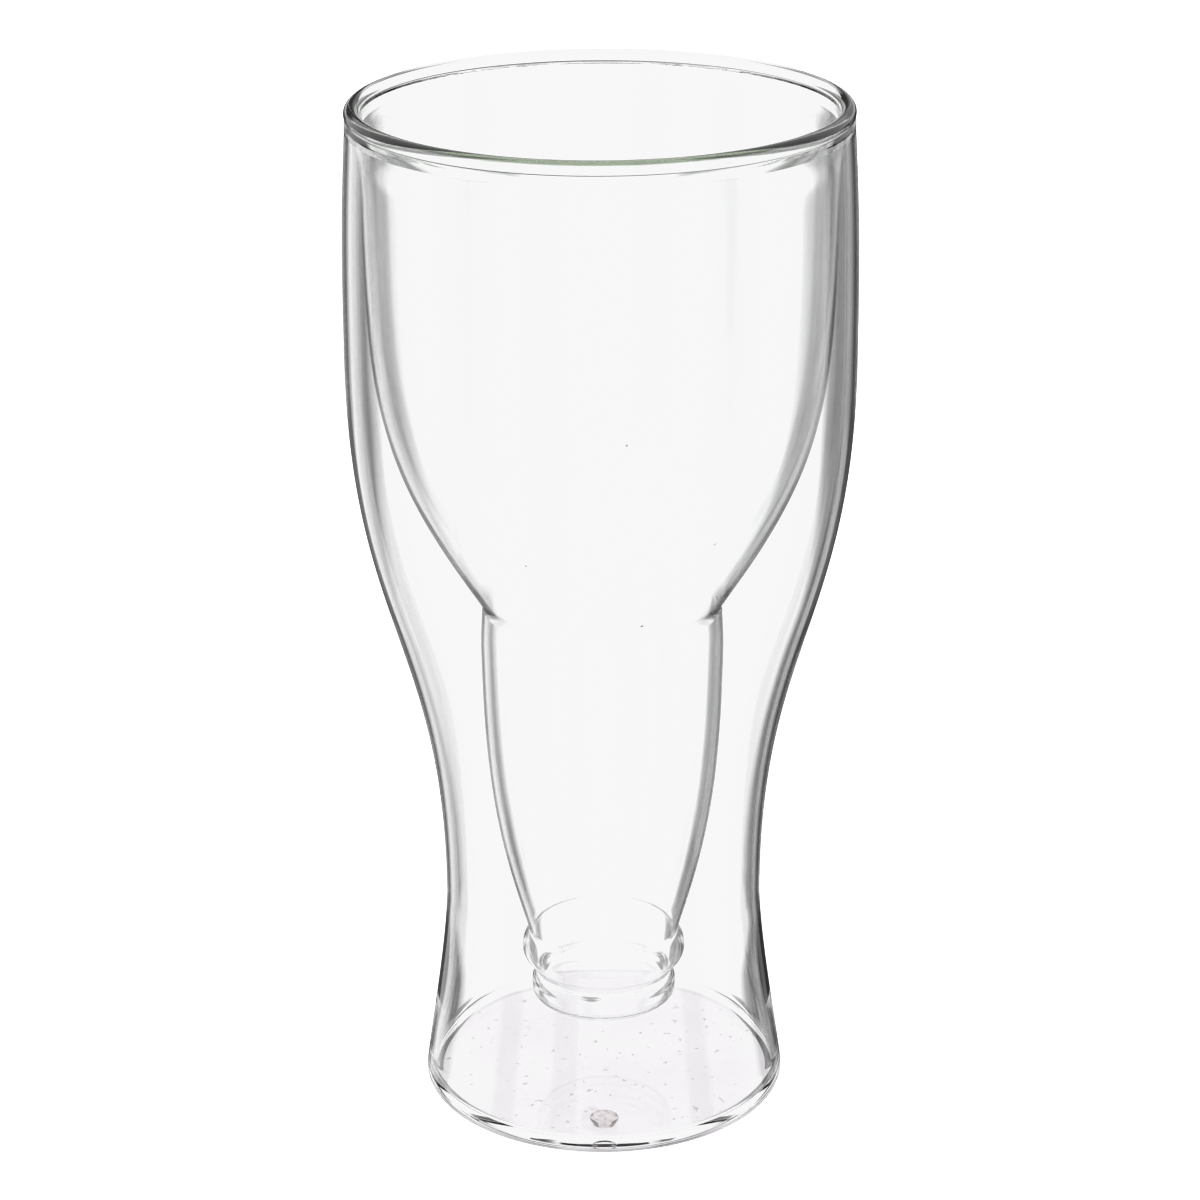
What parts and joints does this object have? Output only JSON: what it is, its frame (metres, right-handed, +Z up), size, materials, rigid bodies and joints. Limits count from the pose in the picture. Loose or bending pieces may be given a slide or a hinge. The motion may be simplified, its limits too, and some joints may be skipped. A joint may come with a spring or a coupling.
{
  "type": "pint glass",
  "caption": "Double-walled clear drinking glass: waisted outer shell around an inner shell shaped like an upside-down bottle, fused at a rounded rim.",
  "frame": {"origin": "middle of the ring under the base that the glass stands on", "axes": "+Z up along the axis of the glass; -Y is the side of the vent seal"},
  "size_m": [0.087, 0.087, 0.18],
  "materials": {
    "clear_glass": "clear polished borosilicate",
    "rim_glass": "fire-polished, faint grey-green where thick",
    "base_glass": "clear with faint ripples",
    "seal_glass": "flame-sealed drop"
  },
  "bodies": {
    "root": {"outer_shell": "clear_glass", "inner_shell": "clear_glass", "rim_bead": "rim_glass", "base_disc": "base_glass", "vent_seal": "seal_glass", "tip_seal": "seal_glass"}
  },
  "joints": []
}
